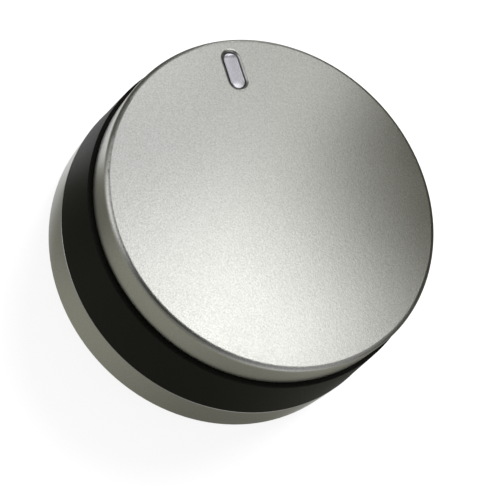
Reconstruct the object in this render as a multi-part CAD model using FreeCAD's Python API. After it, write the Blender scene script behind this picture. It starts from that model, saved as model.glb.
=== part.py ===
import FreeCAD, Part
import math
import os

# Control knob for a cooker or hob: a silver front cap with a pointer insert, a black
# moulded carrier that is the grip, a silver trim ring at the rear, and a leaf spring
# that holds the spindle.
#
# Frame: the origin is on the knob's axis, in the plane of its rear rim. +Z runs along the
# axis to the face, and the pointer is at +Y. Millimetres, and degrees for angles.

# Whole knob, at its rear rim and from there to the face
KNOB_DIAMETER = 45.0
KNOB_HEIGHT = 19.0

# Front cap: CAP_STEP is how far the grip stands out past the cap's rear edge
CAP_HEIGHT = 4.4
CAP_STEP = 0.5
CAP_DRAFT = 2.0
CAP_FACE_WALL = 1.6
CAP_SKIRT_WALL = 1.0
RIM_ROUNDING = 0.6
CAP_EDGE_ROUNDING = 0.1

# Staked pegs, one between each two ribs, which hold the cap to the carrier
PEG_DIAMETER = 2.6
PEG_CLEARANCE = 0.1
STAKE_DIAMETER = 4.4
STAKE_HEIGHT = 1.1
STAKE_ROUNDING = 0.9

# Pointer recess and its insert: POINTER_MARGIN is flat face left outside the recess, and
# the insert is crowned across its width and bent down at both ends
POINTER_MARGIN = 1.03
SLOT_LENGTH = 4.95
SLOT_WIDTH = 2.1
SLOT_LIP = 0.4
INSERT_GAP = 0.1
INSERT_SETBACK = 0.1
INSERT_CROWN_RADIUS = 8.0
INSERT_END_RUN = 0.45
INSERT_END_SLOPE = 28.0
INSERT_END_RADIUS = 2.0
INSERT_ROUNDING = 0.12
FOOT_SIDE_OVERLAP = 0.7
FOOT_END_OVERLAP = 0.15
FOOT_THICKNESS = 0.8
FOOT_CLEARANCE = 0.1

# Carrier: grip, seat of the cap, front plate and cavity
GRIP_DRAFT = 5.0
GRIP_ROUNDING = 0.25
SHADOW_GAP = 0.25
SEAT_WIDTH = 0.9
CAP_CLEARANCE = 0.1
PLATE_THICKNESS = 2.2
NECK_WALL = 1.6
SPIGOT_WALL = 1.5
SHOULDER_THICKNESS = 1.8
CAVITY_DRAFT = 1.0
CORNER_ROUNDING = 0.6

# Hub, its D-shaped bore and the ribs
SPINDLE_DIAMETER = 8.0
SPINDLE_ACROSS_FLAT = 6.5
BORE_CLEARANCE = 0.05
BORE_DEPTH = 12.5
BORE_LEAD_IN = 0.5
HUB_DIAMETER = 14.0
HUB_DRAFT = 0.5
HUB_SETBACK = 1.5
HUB_ROUNDING = 0.3
RIB_COUNT = 4
RIB_THICKNESS = 1.3
RIB_SETBACK = 4.0
RIB_ROUNDING = 0.55
RIB_SINK = 0.5

# Leaf spring in the hub
SPRING_THICKNESS = 0.4
SPRING_WIDTH = 4.2
SPRING_LENGTH = 10.0
SPRING_TAB = 2.4
SPRING_BOW = 0.65
SPRING_PRELOAD = 0.2
SPRING_BEND = 0.35
SPRING_BOW_RADIUS = 9.0
SPRING_SIDE_CLEARANCE = 0.15
SPRING_END_CLEARANCE = 0.25

# Trim ring, snapped on the carrier's spigot: RING_STEP is how far it stands out past the grip
RING_HEIGHT = 5.65
RING_DRAFT = 1.0
RING_STEP = 0.05
RING_WALL = 1.1
RING_CLEARANCE = 0.1
RING_LIP_THICKNESS = 0.9
RING_FRONT_ROUNDING = 0.1
RING_REAR_ROUNDING = 0.2
SNAP_COUNT = 4
SNAP_SPAN = 24.0
SNAP_DEPTH = 0.4
SNAP_WIDTH = 1.4
SNAP_HEIGHT = 2.6
SNAP_CLEARANCE = 0.05


def narrowing(length, draft):
    """How much the radius shrinks along a length with a draft angle."""
    return length * math.tan(math.radians(draft))


# Heights and radii that follow from the sizes above
FACE_UNDERSIDE = KNOB_HEIGHT - CAP_FACE_WALL
CAP_EDGE = KNOB_HEIGHT - CAP_HEIGHT
GRIP_FRONT = CAP_EDGE - SHADOW_GAP
PLATE_REAR = FACE_UNDERSIDE - PLATE_THICKNESS
RING_FRONT_RADIUS = KNOB_DIAMETER / 2 - narrowing(RING_HEIGHT, RING_DRAFT)
GRIP_REAR_RADIUS = RING_FRONT_RADIUS - RING_STEP
GRIP_FRONT_RADIUS = GRIP_REAR_RADIUS - narrowing(GRIP_FRONT - RING_HEIGHT, GRIP_DRAFT)
CAP_REAR_RADIUS = GRIP_FRONT_RADIUS - CAP_STEP
CAP_FRONT_RADIUS = CAP_REAR_RADIUS - narrowing(CAP_HEIGHT, CAP_DRAFT)
SKIRT_INNER_RADIUS = CAP_REAR_RADIUS - CAP_SKIRT_WALL
NECK_RADIUS = SKIRT_INNER_RADIUS - CAP_CLEARANCE
RING_INNER_RADIUS = RING_FRONT_RADIUS - RING_WALL
SPIGOT_RADIUS = RING_INNER_RADIUS - RING_CLEARANCE
CAVITY_RADIUS = SPIGOT_RADIUS - SPIGOT_WALL
SHOULDER = GRIP_FRONT - SHOULDER_THICKNESS
THROAT_RADIUS = NECK_RADIUS - NECK_WALL
POINTER_RADIUS = CAP_FRONT_RADIUS - RIM_ROUNDING - POINTER_MARGIN - SLOT_LENGTH / 2
INSERT_LENGTH = SLOT_LENGTH - 2 * INSERT_GAP
INSERT_WIDTH = SLOT_WIDTH - 2 * INSERT_GAP
FOOT_LENGTH = INSERT_LENGTH + 2 * FOOT_END_OVERLAP
FOOT_WIDTH = SLOT_WIDTH + 2 * FOOT_SIDE_OVERLAP
HUB_BASE_RADIUS = HUB_DIAMETER / 2 + narrowing(PLATE_REAR - HUB_SETBACK, HUB_DRAFT)
PEG_RADIUS = PEG_DIAMETER / 2
PEG_HOLE_RADIUS = PEG_RADIUS + PEG_CLEARANCE
BORE_RADIUS = SPINDLE_DIAMETER / 2 + BORE_CLEARANCE
SPINDLE_FLAT = SPINDLE_ACROSS_FLAT - SPINDLE_DIAMETER / 2
BORE_FLAT = SPINDLE_FLAT + BORE_CLEARANCE
SPRING_FLOOR = SPINDLE_FLAT - SPRING_PRELOAD + SPRING_THICKNESS + SPRING_BOW
SPRING_BASE = HUB_SETBACK + SPRING_THICKNESS
SPRING_TIP = HUB_SETBACK + SPRING_LENGTH

# The pegs stand midway in the room that the hub and the pointer's foot leave them
NEAREST_PEG = HUB_BASE_RADIUS + CORNER_ROUNDING + STAKE_DIAMETER / 2
FURTHEST_PEG = POINTER_RADIUS - FOOT_LENGTH / 2 - FOOT_CLEARANCE - PEG_HOLE_RADIUS
PEG_CIRCLE_RADIUS = (NEAREST_PEG + FURTHEST_PEG) / 2

# How far a cutting shape runs past the face that it opens
OVERRUN = 1.0

# Distance under which two points or levels count as the same
SAME = 1e-5


def vector(x, y, z):
    return FreeCAD.Vector(x, y, z)


def outline(corners, place):
    """Close a wire through corners (a, b, rounding); place turns a and b into a point."""
    points = [place(a, b) for a, b, rounding in corners]
    runs = []
    for index, corner in enumerate(points):
        rounding = corners[index][2]
        back = (points[index - 1] - corner).normalize()
        onward = (points[(index + 1) % len(points)] - corner).normalize()
        if rounding == 0:
            runs.append((corner, None, corner))
            continue
        half = back.getAngle(onward) / 2
        reach = rounding / math.tan(half)
        inward = (back + onward).normalize() * (rounding / math.sin(half) - rounding)
        runs.append((corner + back * reach, corner + inward, corner + onward * reach))
    edges = []
    for index, (start, middle, end) in enumerate(runs):
        following = runs[(index + 1) % len(runs)][0]
        if middle is not None:
            edges.append(Part.Arc(start, middle, end).toShape())
        if end.distanceToPoint(following) > SAME:
            edges.append(Part.LineSegment(end, following).toShape())
    return Part.Wire(edges)


def in_section(radius, height):
    return vector(radius, 0, height)


def in_side_view(y, z):
    return vector(0, y, z)


def revolved(corners, angle=360.0):
    """Turn a section given as (radius, height, rounding) about the knob's axis."""
    face = Part.Face(outline(corners, in_section))
    return face.revolve(vector(0, 0, 0), vector(0, 0, 1), angle)


def extruded_across(corners, width):
    """Extrude a side view given as (y, z, rounding) along X, centred on the axis."""
    face = Part.Face(outline(corners, in_side_view))
    face.translate(vector(-width / 2, 0, 0))
    return face.extrude(vector(width, 0, 0))


def stadium(length, width, bottom, top):
    """Upright prism with round ends, long side along Y, at the pointer's place."""
    radius = width / 2
    straight = length / 2 - radius
    low = vector(0, POINTER_RADIUS - straight, bottom)
    high = vector(0, POINTER_RADIUS + straight, bottom)
    side = vector(radius, 0, 0)
    edges = [
        Part.LineSegment(low + side, high + side).toShape(),
        Part.Arc(high + side, high + vector(0, radius, 0), high - side).toShape(),
        Part.LineSegment(high - side, low - side).toShape(),
        Part.Arc(low - side, low - vector(0, radius, 0), low + side).toShape(),
    ]
    return Part.Face(Part.Wire(edges)).extrude(vector(0, 0, top - bottom))


def around(shape, count, first_angle=0.0):
    """Copies of a shape, evenly spaced about the knob's axis."""
    copies = []
    for index in range(count):
        copy = shape.copy()
        angle = first_angle + index * 360.0 / count
        copy.rotate(vector(0, 0, 0), vector(0, 0, 1), angle)
        copies.append(copy)
    return copies


def edges_at_height(shape, height):
    """Edges of a shape that lie level at a given height."""
    found = []
    for edge in shape.Edges:
        box = edge.BoundBox
        if abs(box.ZMin - height) < SAME and abs(box.ZMax - height) < SAME:
            found.append(edge)
    return found


def cut_pointer_slot(shell):
    """Cut the pointer's recess through the cap's face and round its lip."""
    opened = shell.cut(stadium(SLOT_LENGTH, SLOT_WIDTH, FACE_UNDERSIDE - OVERRUN,
                               KNOB_HEIGHT + OVERRUN))
    lip = [edge for edge in edges_at_height(opened, KNOB_HEIGHT)
           if edge.BoundBox.XMax < SLOT_WIDTH]
    return opened.makeFillet(SLOT_LIP, lip)


def staked_peg():
    """A peg from the cap's underside through the front plate, with its formed head."""
    root = FACE_UNDERSIDE + CAP_FACE_WALL / 2
    peg = revolved([
        (0, root, 0),
        (PEG_RADIUS, root, 0),
        (PEG_RADIUS, PLATE_REAR, 0),
        (STAKE_DIAMETER / 2, PLATE_REAR, 0),
        (STAKE_DIAMETER / 2, PLATE_REAR - STAKE_HEIGHT, STAKE_ROUNDING),
        (0, PLATE_REAR - STAKE_HEIGHT, 0),
    ])
    peg.translate(vector(PEG_CIRCLE_RADIUS, 0, 0))
    return peg


def front_cap():
    """Silver cap: flat face, rounded rim, skirt, pointer recess and staked pegs."""
    shell = revolved([
        (0, KNOB_HEIGHT, 0),
        (CAP_FRONT_RADIUS, KNOB_HEIGHT, RIM_ROUNDING),
        (CAP_REAR_RADIUS, CAP_EDGE, CAP_EDGE_ROUNDING),
        (SKIRT_INNER_RADIUS, CAP_EDGE, 0),
        (SKIRT_INNER_RADIUS, FACE_UNDERSIDE, 0),
        (0, FACE_UNDERSIDE, 0),
    ])
    return cut_pointer_slot(shell).fuse(around(staked_peg(), RIB_COUNT))


def insert_form(top):
    """The insert's upper side: its side view, with both ends bent down, turned about a
    line below it, so that it is crowned across its width."""
    centre = top - INSERT_CROWN_RADIUS
    reach = INSERT_LENGTH / 2 + OVERRUN
    knee = INSERT_LENGTH / 2 - INSERT_END_RUN
    end_height = top - narrowing(reach - knee, INSERT_END_SLOPE)
    side_view = Part.Face(outline([
        (POINTER_RADIUS - reach, centre, 0),
        (POINTER_RADIUS - reach, end_height, 0),
        (POINTER_RADIUS - knee, top, INSERT_END_RADIUS),
        (POINTER_RADIUS + knee, top, INSERT_END_RADIUS),
        (POINTER_RADIUS + reach, end_height, 0),
        (POINTER_RADIUS + reach, centre, 0),
    ], in_side_view))
    return side_view.revolve(vector(0, 0, centre), vector(0, 1, 0), 360)


def on_insert_outline(edge):
    """Whether an edge runs along the insert's outline, seen from the front."""
    middle = edge.valueAt((edge.FirstParameter + edge.LastParameter) / 2)
    along = max(abs(middle.y - POINTER_RADIUS) - (INSERT_LENGTH - INSERT_WIDTH) / 2, 0)
    return abs(math.hypot(middle.x, along) - INSERT_WIDTH / 2) < SAME


def pointer_insert():
    """Glossy insert: a raised pill in the recess, on a foot behind the cap's face."""
    top = KNOB_HEIGHT - INSERT_SETBACK
    raised = stadium(INSERT_LENGTH, INSERT_WIDTH, FACE_UNDERSIDE, top).common(insert_form(top))
    upper = [edge for edge in raised.Edges
             if edge.BoundBox.ZMin > FACE_UNDERSIDE + SAME and on_insert_outline(edge)]
    raised = raised.makeFillet(INSERT_ROUNDING, upper)
    foot = stadium(FOOT_LENGTH, FOOT_WIDTH, FACE_UNDERSIDE - FOOT_THICKNESS, FACE_UNDERSIDE)
    return raised.fuse(foot)


def foot_pocket():
    """Pocket in the front plate that the insert's foot lies in."""
    return stadium(FOOT_LENGTH + 2 * FOOT_CLEARANCE, FOOT_WIDTH + 2 * FOOT_CLEARANCE,
                   FACE_UNDERSIDE - FOOT_THICKNESS, FACE_UNDERSIDE + OVERRUN)


def carrier_blank():
    """The carrier's turned form: neck, seat, grip, spigot, cavity and solid hub."""
    cavity_front_radius = CAVITY_RADIUS - narrowing(SHOULDER - RING_LIP_THICKNESS, CAVITY_DRAFT)
    return revolved([
        (0, FACE_UNDERSIDE, 0),
        (NECK_RADIUS, FACE_UNDERSIDE, 0),
        (NECK_RADIUS, CAP_EDGE, 0),
        (NECK_RADIUS + SEAT_WIDTH, CAP_EDGE, 0),
        (NECK_RADIUS + SEAT_WIDTH, GRIP_FRONT, 0),
        (GRIP_FRONT_RADIUS, GRIP_FRONT, GRIP_ROUNDING),
        (GRIP_REAR_RADIUS, RING_HEIGHT, 0),
        (SPIGOT_RADIUS, RING_HEIGHT, 0),
        (SPIGOT_RADIUS, RING_LIP_THICKNESS, 0),
        (CAVITY_RADIUS, RING_LIP_THICKNESS, 0),
        (cavity_front_radius, SHOULDER, CORNER_ROUNDING),
        (THROAT_RADIUS, SHOULDER, HUB_ROUNDING),
        (THROAT_RADIUS, PLATE_REAR, CORNER_ROUNDING),
        (HUB_BASE_RADIUS, PLATE_REAR, CORNER_ROUNDING),
        (HUB_DIAMETER / 2, HUB_SETBACK, HUB_ROUNDING),
        (0, HUB_SETBACK, 0),
    ])


def rib_run(end, bottom, top, rounding):
    """One radial stretch of a rib, from inside the hub out to a given radius."""
    start = HUB_DIAMETER / 2 - RIB_SINK
    half = RIB_THICKNESS / 2
    section = outline([
        (-half, top, 0),
        (half, top, 0),
        (half, bottom, rounding),
        (-half, bottom, rounding),
    ], in_side_view)
    section.translate(vector(start, 0, 0))
    return Part.Face(section).extrude(vector(end - start, 0, 0))


def rib():
    """Radial rib with a rounded rear edge, stepped where the cavity narrows."""
    rear = rib_run(CAVITY_RADIUS + RIB_SINK, RIB_SETBACK, SHOULDER + RIB_SINK, RIB_ROUNDING)
    front = rib_run(THROAT_RADIUS + RIB_SINK, SHOULDER, PLATE_REAR + RIB_SINK, 0)
    return rear.fuse(front)


def snap_lug():
    """Wedge on the spigot that holds the trim ring: ramp to the rear, catch to the front."""
    root = SPIGOT_RADIUS - SPIGOT_WALL / 2
    tip = SPIGOT_RADIUS + SNAP_DEPTH - SNAP_CLEARANCE
    front = SNAP_HEIGHT + SNAP_WIDTH - SNAP_CLEARANCE
    rear = SNAP_HEIGHT + SNAP_CLEARANCE
    lug = revolved([
        (root, front, 0),
        (tip, front, 0),
        (tip, (front + rear) / 2, 0),
        (SPIGOT_RADIUS, rear, 0),
        (root, rear, 0),
    ], SNAP_SPAN)
    lug.rotate(vector(0, 0, 0), vector(0, 0, 1), -SNAP_SPAN / 2)
    return lug


def bore_cutter():
    """D-shaped blind bore with its lead-in."""
    bore = Part.makeCylinder(BORE_RADIUS, BORE_DEPTH, vector(0, 0, HUB_SETBACK))
    beyond_flat = Part.makeBox(2 * BORE_RADIUS, BORE_RADIUS, BORE_DEPTH,
                               vector(-BORE_RADIUS, BORE_FLAT, HUB_SETBACK))
    lead_in = Part.makeCone(BORE_RADIUS + BORE_LEAD_IN, BORE_RADIUS, BORE_LEAD_IN,
                            vector(0, 0, HUB_SETBACK))
    beyond_lead_in = Part.makeBox(4 * BORE_RADIUS, 2 * BORE_RADIUS, BORE_LEAD_IN,
                                  vector(-2 * BORE_RADIUS, BORE_FLAT, HUB_SETBACK))
    return bore.cut(beyond_flat).fuse(lead_in.cut(beyond_lead_in))


def spring_seat_cutter():
    """Recess behind the bore's flat for the leaf, and the notch for its tab."""
    notch_end = SPRING_FLOOR + SPRING_TAB + SPRING_END_CLEARANCE
    return extruded_across([
        (BORE_FLAT - OVERRUN, HUB_SETBACK - OVERRUN, 0),
        (BORE_FLAT - OVERRUN, SPRING_TIP + SPRING_END_CLEARANCE, 0),
        (SPRING_FLOOR, SPRING_TIP + SPRING_END_CLEARANCE, 0),
        (SPRING_FLOOR, SPRING_BASE, SPRING_BEND),
        (notch_end, SPRING_BASE, 0),
        (notch_end, HUB_SETBACK - OVERRUN, 0),
    ], SPRING_WIDTH + 2 * SPRING_SIDE_CLEARANCE)


def body():
    """Black carrier: grip, cap seat, front plate, cavity, ribbed hub and snap lugs."""
    rib_angle = 180.0 / RIB_COUNT
    ribs = around(rib(), RIB_COUNT, rib_angle)
    lugs = around(snap_lug(), SNAP_COUNT)
    solid = carrier_blank().fuse(ribs + lugs)
    peg_hole = Part.makeCylinder(PEG_HOLE_RADIUS, PLATE_THICKNESS + 2 * OVERRUN,
                                 vector(PEG_CIRCLE_RADIUS, 0, PLATE_REAR - OVERRUN))
    cutters = around(peg_hole, RIB_COUNT)
    cutters += [foot_pocket(), bore_cutter(), spring_seat_cutter()]
    return solid.cut(cutters).removeSplitter()


def shaft_spring():
    """Bowed leaf with a tab bent over the hub's rear face."""
    lean = math.atan2(SPRING_BOW, (SPRING_TIP - SPRING_BASE) / 2)
    middle = (SPRING_BASE + SPRING_TIP) / 2
    skew = SPRING_THICKNESS / math.cos(lean)
    bend_shift = SPRING_THICKNESS * math.tan(lean)
    bowed = SPRING_FLOOR - SPRING_BOW
    return extruded_across([
        (SPRING_FLOOR + SPRING_TAB, SPRING_BASE, 0),
        (SPRING_FLOOR, SPRING_BASE, SPRING_BEND),
        (bowed, middle, SPRING_BOW_RADIUS),
        (SPRING_FLOOR, SPRING_TIP, 0),
        (SPRING_FLOOR - skew, SPRING_TIP, 0),
        (bowed - skew, middle, SPRING_BOW_RADIUS + SPRING_THICKNESS),
        (SPRING_FLOOR - skew + bend_shift, HUB_SETBACK, SPRING_BEND + SPRING_THICKNESS),
        (SPRING_FLOOR + SPRING_TAB, HUB_SETBACK, 0),
    ], SPRING_WIDTH)


def base_ring():
    """Silver trim ring: outer wall, rear lip under the spigot and a snap groove inside."""
    lip_radius = CAVITY_RADIUS + RING_CLEARANCE
    groove_radius = RING_INNER_RADIUS + SNAP_DEPTH
    return revolved([
        (RING_FRONT_RADIUS, RING_HEIGHT, RING_FRONT_ROUNDING),
        (KNOB_DIAMETER / 2, 0, RING_REAR_ROUNDING),
        (lip_radius, 0, 0),
        (lip_radius, RING_LIP_THICKNESS, 0),
        (RING_INNER_RADIUS, RING_LIP_THICKNESS, 0),
        (RING_INNER_RADIUS, SNAP_HEIGHT, 0),
        (groove_radius, SNAP_HEIGHT, 0),
        (groove_radius, SNAP_HEIGHT + SNAP_WIDTH, 0),
        (RING_INNER_RADIUS, SNAP_HEIGHT + SNAP_WIDTH, 0),
        (RING_INNER_RADIUS, RING_HEIGHT, 0),
    ])


SUB_PARTS = {
    "front_cap": front_cap,
    "pointer_insert": pointer_insert,
    "body": body,
    "shaft_spring": shaft_spring,
    "base_ring": base_ring,
}

os.makedirs("parts", exist_ok=True)
for name, make in SUB_PARTS.items():
    shape = make()
    solids = shape.Solids
    if len(solids) != 1 or not shape.isValid():
        raise RuntimeError(name + " is not one valid solid")
    solids[0].exportStep("parts/" + name + ".step")
    print(name, round(solids[0].Volume, 2), "mm3")
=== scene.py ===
import math
from collections import namedtuple

import bpy
from mathutils import Matrix, Vector


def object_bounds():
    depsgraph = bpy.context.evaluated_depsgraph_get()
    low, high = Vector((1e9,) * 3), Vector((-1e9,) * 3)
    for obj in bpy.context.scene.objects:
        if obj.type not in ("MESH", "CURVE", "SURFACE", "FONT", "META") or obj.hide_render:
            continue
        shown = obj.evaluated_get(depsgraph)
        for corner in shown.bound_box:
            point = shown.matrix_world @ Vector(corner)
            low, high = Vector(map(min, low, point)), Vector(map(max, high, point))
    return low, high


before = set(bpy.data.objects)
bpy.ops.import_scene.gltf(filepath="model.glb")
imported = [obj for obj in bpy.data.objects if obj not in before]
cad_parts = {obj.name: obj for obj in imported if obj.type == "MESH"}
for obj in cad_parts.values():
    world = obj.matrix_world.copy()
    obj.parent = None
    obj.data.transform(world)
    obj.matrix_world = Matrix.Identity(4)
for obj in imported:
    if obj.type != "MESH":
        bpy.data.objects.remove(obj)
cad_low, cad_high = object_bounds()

# A control knob, standing on its rear rim on a pale floor. Metres, and degrees for angles.

MM = 0.001
KNOB_RADIUS = cad_high[0]
KNOB_HEIGHT = cad_high[2]
WHITE = (1.0, 1.0, 1.0, 1.0)

# Camera: it looks at a point near the knob's axis, from the side away from the pointer
CAMERA_AIM = Vector((-1.28, -2.80, 9.48)) * MM
CAMERA_AZIMUTH = -151.95
CAMERA_ELEVATION = 59.42
CAMERA_ROLL = 47.52
CAMERA_DISTANCE = 169.7 * MM
CAMERA_LENS = 100.25
CAMERA_CLIP = 10 * MM

# Floor and world: the floor reads as white and keeps a soft shadow
FLOOR_RADIUS = 2.0
FLOOR_CORNERS = 96
FLOOR_COLOUR = (0.45, 0.45, 0.45, 1.0)
FLOOR_GLOW = 0.78
SKY_SEEN = 1.0
SKY_LIGHT = 0.45

# Key lamp: it gives the shadow, and isn't seen in reflections
KEY_AZIMUTH = 35
KEY_ELEVATION = 45
KEY_DISTANCE = 0.9
KEY_SIZE = 0.6
KEY_POWER = 6.0

# Tints of what the metal reflects
NEUTRAL = Vector((1.0, 1.0, 1.0))
CREAM = Vector((1.0, 1.0, 0.98))
WARM = Vector((1.0, 1.0, 0.84))
AMBER = Vector((1.0, 0.98, 0.58))
FAINT_BLUE = Vector((1.0, 1.0, 1.1))

# A soft round patch on the floor, dark for painted shade and light for painted light, which only
# reflections see:
# where its middle is, how far it reaches in full and how far it then fades, in mm. Later ones lie
# over earlier ones.
PaintedPatch = namedtuple("PaintedPatch", "azimuth distance reach fade tone tint")

# A soft round panel of the tent: where its middle is, and the angles from there within which it
# shows in full and beyond which it doesn't show. With an inner angle below zero it is slightly
# sheer even in its middle. Later panels hang in front of earlier ones.
Panel = namedtuple("Panel", "azimuth elevation inner outer tone tint")

FLOOR_TONE = 0.31
FLOOR_PAINTED_PATCHES = [
    # Dark patch painted beyond the knob. The rim shows it as a painted reflection: the thin dark
    # line along the rim, mostly at its right
    PaintedPatch(28, 80, 73, 20, 0.10, WARM),
    # Patch of painted light that shows from under the knob's far side
    PaintedPatch(39, 6.5, 26, 2, 0.77, NEUTRAL),
    # Two patches of painted shadow on the near side, one to the left of the camera and one to the
    # right
    PaintedPatch(159, 31, 0, 16, 0.15, WARM),
    PaintedPatch(-108, 19, 3, 18, 0.165, WARM),
    # Patch of painted light, which lights the bands' left ends as a painted reflection
    PaintedPatch(116, 30, 8, 8, 0.85, NEUTRAL),
]

# Tent: a small dome that only reflections see, white behind its panels
TENT_RADIUS = 90 * MM
TENT_STEPS = 180
TENT_LEVELS = 45
TENT_WHITE = 1.1
PANELS = [
    # Main softbox, high beyond the knob, and a dimmer cloth over its left part
    Panel(33, 64.5, 24, 25, 7.5, CREAM),
    Panel(63, 67, 0, 17, 1.9, FAINT_BLUE),
    # Dark wall under the softbox, for the face's dark right side
    Panel(11, 29, 25, 56, 0.085, AMBER),
    # Dimmer softbox in front of both: it lights the far part of the face at azimuths from 0 to 60,
    # and dims it from 60 to 120 and on the pointer insert
    Panel(48, 51, 9.5, 11, 1.7, CREAM),
    # Dark opening near the floor, which hardly shows: it darkens the rim's right side a little
    Panel(2, 0, 0, 40, 0.04, WARM),
    # Dark room around the camera, with a dim card near the floor
    Panel(-158, 54, 1, 114, 0.003, WARM),
    Panel(-143, 2, -2, 57, 0.19, WARM),
    # Softbox at the left, for the bright line along the near rim
    Panel(135, 30.5, -4, 45, 5.7, NEUTRAL),
    # Dark flag that cuts that softbox, and a small lamp in front of it, for the pointer's end and
    # the rim beyond it
    Panel(112, 15.5, 15.5, 92, 0.075, WARM),
    Panel(67, 31.5, 1, 4.5, 5.9, NEUTRAL),
    # Dark flag at the right, for the rim's lower right part
    Panel(-40, 14, 0.5, 57.5, 0.04, WARM),
]

# Silver paint. Steep sides and level faces are told apart by how far the surface looks up.
SILVER = (0.62, 0.62, 0.60)
STEEP = 0.2
LEVEL = 0.9
FLAKE_SIZE = 0.19 * MM
FLAKE_RELIEF = 0.016 * MM
FLAKE_RELIEF_SHARE_STEEP = 0.5
FLAKE_CONTRAST_STEEP = 0.09
FLAKE_CONTRAST_LEVEL = 0.16
# Turn of the flakes' noise, in radians, so that no layer of it lies along the flat face
FLAKE_TILT = (0.6, 0.4, 0.8)
# The flakes show more below about 0.27 than above it, and a range across that leaves patches
PAINT_ROUGHNESS = (0.276, 0.296)
PATCH_SIZE = 40 * FLAKE_SIZE

# Where the silver pieces are bare plastic: below the face and inside the skirt
BARE_PLASTIC = (0.30, 0.30, 0.29, 1.0)
BARE_HEIGHT = KNOB_HEIGHT - 2.0 * MM
BARE_RADIUS = KNOB_RADIUS - 3.0 * MM
BARE_FADE = 1.0 * MM

# Black plastic: grained on the grip's outer side, and smoother inside it
BLACK_DARK = (0.004, 0.004, 0.003, 1.0)
BLACK_LIGHT = (0.012, 0.012, 0.0095, 1.0)
BLACK_SPECULAR = 0.085
GRAIN_SIZE = 0.26 * MM
GRAIN_RELIEF = 0.012 * MM
GRAIN_RELIEF_SHARE_INSIDE = 0.15
GRAIN_ROUGHNESS = (0.40, 0.50)
GRAIN_RADIUS = KNOB_RADIUS - 2.0 * MM
GRAIN_FADE = 0.2 * MM
FLOW_SIZE = 6.0 * MM
FLOW_ROUGHNESS = (0.30, 0.38)

# Pointer insert: glossy silver plastic with a cool tint
INSERT_DARK = (0.53, 0.525, 0.575, 1.0)
INSERT_LIGHT = (0.60, 0.595, 0.65, 1.0)
INSERT_METALLIC = 0.9
INSERT_ROUGHNESS = (0.23, 0.27)
HAZE_SIZE = 0.8 * MM
HAZE_RELIEF = 0.002 * MM

# Spring steel, whose rolling lines are drawn out along its length
STEEL_DARK = (0.42, 0.42, 0.41, 1.0)
STEEL_LIGHT = (0.66, 0.65, 0.63, 1.0)
STEEL_ROUGHNESS = (0.24, 0.38)
LINE_SIZE = 0.12 * MM
LINE_RELIEF = 0.002 * MM
LINE_STRETCH = (1.0, 1.0, 0.04)

# The range that most values of a noise lie in
NOISE_LOW = 0.3
NOISE_HIGH = 0.7


def turned(azimuth, elevation):
    """Unit vector that points to an azimuth (from +X) and an elevation."""
    across = math.cos(math.radians(elevation))
    return Vector((
        across * math.cos(math.radians(azimuth)),
        across * math.sin(math.radians(azimuth)),
        math.sin(math.radians(elevation)),
    ))


def facing(azimuth, elevation, roll=0.0):
    """Rotation whose local +Z points to an azimuth and an elevation, turned about it by roll."""
    return (
        Matrix.Rotation(math.radians(azimuth + 90), 4, "Z")
        @ Matrix.Rotation(math.radians(90 - elevation), 4, "X")
        @ Matrix.Rotation(math.radians(roll), 4, "Z")
    )


def add_object(name, data):
    thing = bpy.data.objects.new(name, data)
    bpy.context.scene.collection.objects.link(thing)
    return thing


def make_camera():
    data = bpy.data.cameras.new("camera")
    data.lens = CAMERA_LENS
    data.clip_start = CAMERA_CLIP
    camera = add_object("camera", data)
    back = turned(CAMERA_AZIMUTH, CAMERA_ELEVATION)
    place = Matrix.Translation(CAMERA_AIM + back * CAMERA_DISTANCE)
    camera.matrix_world = place @ facing(CAMERA_AZIMUTH, CAMERA_ELEVATION, CAMERA_ROLL)
    bpy.context.scene.camera = camera


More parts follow.
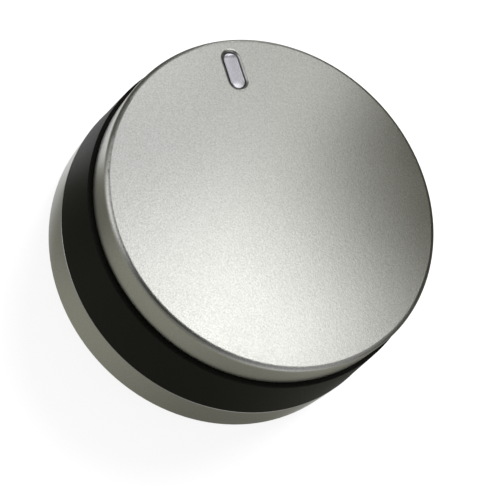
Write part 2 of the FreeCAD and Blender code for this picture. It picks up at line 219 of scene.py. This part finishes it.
class Nodes:
    """A short way to build a node tree."""

    def __init__(self, tree):
        self.tree = tree
        self.tree.nodes.clear()

    def add(self, kind, settings=None, **inputs):
        """Add a node. An input is a value or a socket to link, and its key is the input's name
        with _ for a space, or i and the input's number."""
        node = self.tree.nodes.new(kind)
        for key, value in (settings or {}).items():
            setattr(node, key, value)
        for key, value in inputs.items():
            number = key[1:]
            socket = node.inputs[int(number) if number.isdigit() else key.replace("_", " ")]
            if isinstance(value, bpy.types.NodeSocket):
                self.tree.links.new(value, socket)
            else:
                socket.default_value = value
        return node

    def math(self, operation, first, second):
        return self.add("ShaderNodeMath", {"operation": operation}, i0=first, i1=second).outputs[0]

    def vector(self, operation, output="Vector", **inputs):
        return self.add("ShaderNodeVectorMath", {"operation": operation}, **inputs).outputs[output]

    def place(self):
        """A point's place on the object, in metres."""
        return self.add("ShaderNodeTexCoord").outputs["Object"]

    def upward(self, vector):
        """The part of a vector along +Z."""
        return self.vector("DOT_PRODUCT", "Value", i0=vector, i1=(0.0, 0.0, 1.0))

    def from_axis(self, place):
        """A point's distance from the knob's axis."""
        flat = self.vector("MULTIPLY", i0=place, i1=(1.0, 1.0, 0.0))
        return self.vector("LENGTH", "Value", i0=flat)

    def noise(self, place, size, detail=2.0, roughness=0.5):
        """Noise whose features are about size across, from 0 to 1 about a middle of 0.5."""
        node = self.add("ShaderNodeTexNoise", Vector=place, Scale=1.0 / size, Detail=detail,
                        Roughness=roughness)
        return node.outputs[0]

    def spread(self, value, low, high, from_low=NOISE_LOW, from_high=NOISE_HIGH, smooth=False):
        """Map a value from one range to another, and clamp it there."""
        settings = {"interpolation_type": "SMOOTHSTEP" if smooth else "LINEAR"}
        node = self.add("ShaderNodeMapRange", settings, i0=value, i1=from_low, i2=from_high,
                        i3=low, i4=high)
        return node.outputs[0]

    def mix(self, factor, first, second):
        """Mix two numbers."""
        return self.add("ShaderNodeMix", i0=factor, i2=first, i3=second).outputs[0]

    def blend(self, factor, first, second):
        """Mix two colours."""
        node = self.add("ShaderNodeMix", {"data_type": "RGBA"}, i0=factor, i6=first, i7=second)
        return node.outputs[2]

    def bump(self, height, distance, strength=1.0):
        node = self.add("ShaderNodeBump", Strength=strength, Distance=distance, Height=height)
        return node.outputs[0]

    def any_ray(self, kinds):
        """1 for a ray of any of the kinds, else 0."""
        path = self.add("ShaderNodeLightPath")
        total = path.outputs[kinds[0]]
        for kind in kinds[1:]:
            total = self.math("MAXIMUM", total, path.outputs[kind])
        return total

    def finish(self, shader):
        self.add("ShaderNodeOutputMaterial", Surface=shader.outputs[0])


def new_material(name):
    material = bpy.data.materials.new(name)
    material.use_nodes = True
    return material, Nodes(material.node_tree)


def solid(colour):
    """A tint as a colour with full alpha."""
    return (*colour, 1.0)


def make_world():
    world = bpy.data.worlds.new("studio")
    world.use_nodes = True
    bpy.context.scene.world = world
    nodes = Nodes(world.node_tree)
    seen = nodes.any_ray(["Is Camera Ray", "Is Glossy Ray", "Is Transmission Ray"])
    strength = nodes.spread(seen, SKY_LIGHT, SKY_SEEN, 0.0, 1.0)
    sky = nodes.add("ShaderNodeBackground", Color=WHITE, Strength=strength)
    nodes.add("ShaderNodeOutputWorld", Surface=sky.outputs[0])


def floor_tone(nodes):
    """What reflections see of the floor: a plain tone under soft round patches of painted shade
    and painted light.
    """
    place = nodes.place()
    tone = solid(WARM * FLOOR_TONE)
    # Each patch darkens or lightens the tone, as painted shade or painted light
    for painted_patch in FLOOR_PAINTED_PATCHES:
        middle = turned(painted_patch.azimuth, 0.0) * painted_patch.distance * MM
        away = nodes.vector("DISTANCE", "Value", i0=place, i1=middle)
        full = painted_patch.reach * MM
        end = (painted_patch.reach + painted_patch.fade) * MM
        cover = nodes.spread(away, 1.0, 0.0, full, end, smooth=True)
        tone = nodes.blend(cover, tone, solid(painted_patch.tint * painted_patch.tone))
    return tone


def floor_material():
    """Pale paper, lifted to white where the camera sees it; reflections see a glowing painted tone
    instead, with its patches of painted shade and light.
    """
    material, nodes = new_material("pale_floor")
    paper = nodes.add("ShaderNodeBsdfDiffuse", Color=FLOOR_COLOUR)
    glow = nodes.math("MULTIPLY", nodes.any_ray(["Is Camera Ray"]), FLOOR_GLOW)
    lift = nodes.add("ShaderNodeEmission", Color=WHITE, Strength=glow)
    seen = nodes.add("ShaderNodeAddShader", i0=paper.outputs[0], i1=lift.outputs[0])
    # Reflections see this painted tone, not the lit paper and its shadow
    mirrored = nodes.add("ShaderNodeEmission", Color=floor_tone(nodes), Strength=1.0)
    reflected = nodes.any_ray(["Is Glossy Ray", "Is Transmission Ray"])
    shader = nodes.add("ShaderNodeMixShader", i0=reflected, i1=seen.outputs[0],
                       i2=mirrored.outputs[0])
    nodes.finish(shader)
    return material


def make_floor():
    """A flat disc that faces +Z, round the knob's rear rim."""
    step = 360.0 / FLOOR_CORNERS
    ring = [turned(step * corner, 0.0) * FLOOR_RADIUS for corner in range(FLOOR_CORNERS)]
    mesh = bpy.data.meshes.new("floor")
    mesh.from_pydata(ring, [], [list(range(FLOOR_CORNERS))])
    mesh.materials.append(floor_material())
    floor = add_object("floor", mesh)


def make_key_lamp():
    data = bpy.data.lights.new("key", "AREA")
    data.shape = "DISK"
    data.size = KEY_SIZE
    data.energy = KEY_POWER
    lamp = add_object("key", data)
    place = Matrix.Translation(turned(KEY_AZIMUTH, KEY_ELEVATION) * KEY_DISTANCE)
    lamp.matrix_world = place @ facing(KEY_AZIMUTH, KEY_ELEVATION)
    lamp.visible_glossy = False


def smooth_step(x):
    x = min(max(x, 0.0), 1.0)
    return x * x * (3 - 2 * x)


def tent_colour(direction):
    """What the tent shows in a direction: white, under soft round panels."""
    colour = NEUTRAL * TENT_WHITE
    for panel in PANELS:
        away = math.degrees(direction.angle(turned(panel.azimuth, panel.elevation)))
        cover = smooth_step((panel.outer - away) / (panel.outer - panel.inner))
        colour = colour.lerp(panel.tint * panel.tone, cover)
    return colour


def tent_material():
    """The tent glows in its points' own colours."""
    material, nodes = new_material("tent")
    shown = nodes.add("ShaderNodeAttribute", {"attribute_name": "glow"}).outputs["Color"]
    nodes.finish(nodes.add("ShaderNodeEmission", Color=shown, Strength=1.0))
    return material


def make_tent():
    """A dome round the knob that only reflections see."""
    points = []
    for level in range(TENT_LEVELS + 1):
        elevation = 90.0 * level / TENT_LEVELS
        for step in range(TENT_STEPS):
            points.append(turned(360.0 * step / TENT_STEPS, elevation) * TENT_RADIUS)
    faces = []
    for level in range(TENT_LEVELS):
        low = level * TENT_STEPS
        high = low + TENT_STEPS
        for step in range(TENT_STEPS):
            onward = (step + 1) % TENT_STEPS
            faces.append((low + step, low + onward, high + onward, high + step))
    mesh = bpy.data.meshes.new("tent")
    mesh.from_pydata(points, [], faces)
    mesh.materials.append(tent_material())
    glow = mesh.attributes.new("glow", "FLOAT_COLOR", "POINT")
    for index, point in enumerate(points):
        glow.data[index].color = solid(tent_colour(point))
    tent = add_object("tent", mesh)
    for kind in ("camera", "diffuse", "transmission", "volume_scatter", "shadow"):
        setattr(tent, "visible_" + kind, False)


def bare_share(nodes, place):
    """1 inside the silver pieces, where no paint reaches, and 0 on their outer sides."""
    below = nodes.spread(nodes.upward(place), 1.0, 0.0, BARE_HEIGHT, BARE_HEIGHT + BARE_FADE)
    within = nodes.spread(nodes.from_axis(place), 1.0, 0.0, BARE_RADIUS, BARE_RADIUS + BARE_FADE)
    return nodes.math("MULTIPLY", below, within)


def metallic_paint(name):
    """Silver paint over grey plastic: metal flakes give it a fine grain, which is calmer on the
    steep sides, and the moulding stays bare inside."""
    material, nodes = new_material(name)
    place = nodes.place()
    tilted = nodes.add("ShaderNodeMapping", Vector=place, Rotation=FLAKE_TILT).outputs[0]
    flakes = nodes.noise(tilted, FLAKE_SIZE, detail=2.0, roughness=0.6)
    patches = nodes.noise(place, PATCH_SIZE)
    up = nodes.upward(nodes.add("ShaderNodeNewGeometry").outputs["Normal"])
    contrast = nodes.spread(up, FLAKE_CONTRAST_STEEP, FLAKE_CONTRAST_LEVEL, STEEP, LEVEL)
    relief = nodes.spread(up, FLAKE_RELIEF_SHARE_STEEP, 1.0, STEEP, LEVEL)
    change = nodes.math("MULTIPLY", contrast, nodes.spread(flakes, -1.0, 1.0))
    silver = nodes.vector("SCALE", i0=SILVER, Scale=nodes.math("ADD", 1.0, change))
    bare = bare_share(nodes, place)
    shader = nodes.add(
        "ShaderNodeBsdfPrincipled",
        Base_Color=nodes.blend(bare, silver, BARE_PLASTIC),
        Metallic=nodes.math("SUBTRACT", 1.0, bare),
        Roughness=nodes.spread(patches, *PAINT_ROUGHNESS),
        Normal=nodes.bump(flakes, FLAKE_RELIEF, relief),
    )
    nodes.finish(shader)
    return material


def black_moulding():
    """Black plastic, spark-eroded outside and smoother inside."""
    material, nodes = new_material("black_moulding")
    place = nodes.place()
    grain = nodes.noise(place, GRAIN_SIZE, detail=3.0, roughness=0.6)
    flow = nodes.noise(place, FLOW_SIZE)
    radius = nodes.from_axis(place)
    outside = nodes.spread(radius, 0.0, 1.0, GRAIN_RADIUS - GRAIN_FADE, GRAIN_RADIUS)
    smooth = nodes.spread(flow, *FLOW_ROUGHNESS)
    grained = nodes.spread(grain, *GRAIN_ROUGHNESS)
    relief = nodes.spread(outside, GRAIN_RELIEF_SHARE_INSIDE, 1.0, 0.0, 1.0)
    shader = nodes.add(
        "ShaderNodeBsdfPrincipled",
        Base_Color=nodes.blend(nodes.spread(grain, 0.0, 1.0), BLACK_DARK, BLACK_LIGHT),
        Roughness=nodes.mix(outside, smooth, grained),
        Specular_IOR_Level=BLACK_SPECULAR,
        Normal=nodes.bump(grain, GRAIN_RELIEF, relief),
    )
    nodes.finish(shader)
    return material


def pointer_gloss():
    """Glossy silver plastic with a faint haze in its tone, gloss and relief."""
    material, nodes = new_material("pointer_gloss")
    haze = nodes.noise(nodes.place(), HAZE_SIZE)
    shader = nodes.add(
        "ShaderNodeBsdfPrincipled",
        Base_Color=nodes.blend(haze, INSERT_DARK, INSERT_LIGHT),
        Metallic=INSERT_METALLIC,
        Roughness=nodes.spread(haze, *INSERT_ROUGHNESS),
        Normal=nodes.bump(haze, HAZE_RELIEF),
    )
    nodes.finish(shader)
    return material


def spring_steel():
    """Rolled strip: fine lines along its length, in tone, gloss and relief."""
    material, nodes = new_material("spring_steel")
    along = nodes.add("ShaderNodeMapping", Vector=nodes.place(), Scale=LINE_STRETCH).outputs[0]
    lines = nodes.noise(along, LINE_SIZE, detail=3.0)
    shader = nodes.add(
        "ShaderNodeBsdfPrincipled",
        Base_Color=nodes.blend(lines, STEEL_DARK, STEEL_LIGHT),
        Metallic=1.0,
        Roughness=nodes.spread(lines, *STEEL_ROUGHNESS),
        Normal=nodes.bump(lines, LINE_RELIEF),
    )
    nodes.finish(shader)
    return material


def paint(node, material):
    """Give a piece of the knob its material."""
    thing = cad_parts[node]
    for slot in thing.material_slots:
        slot.material = material
    if not thing.material_slots:
        thing.data.materials.append(material)


make_camera()
make_world()
make_floor()
make_key_lamp()
make_tent()
bpy.context.scene.view_settings.view_transform = "Standard"

paint("front_cap", metallic_paint("silver_face"))
paint("base_ring", metallic_paint("silver_trim"))
paint("body", black_moulding())
paint("pointer_insert", pointer_gloss())
paint("shaft_spring", spring_steel())
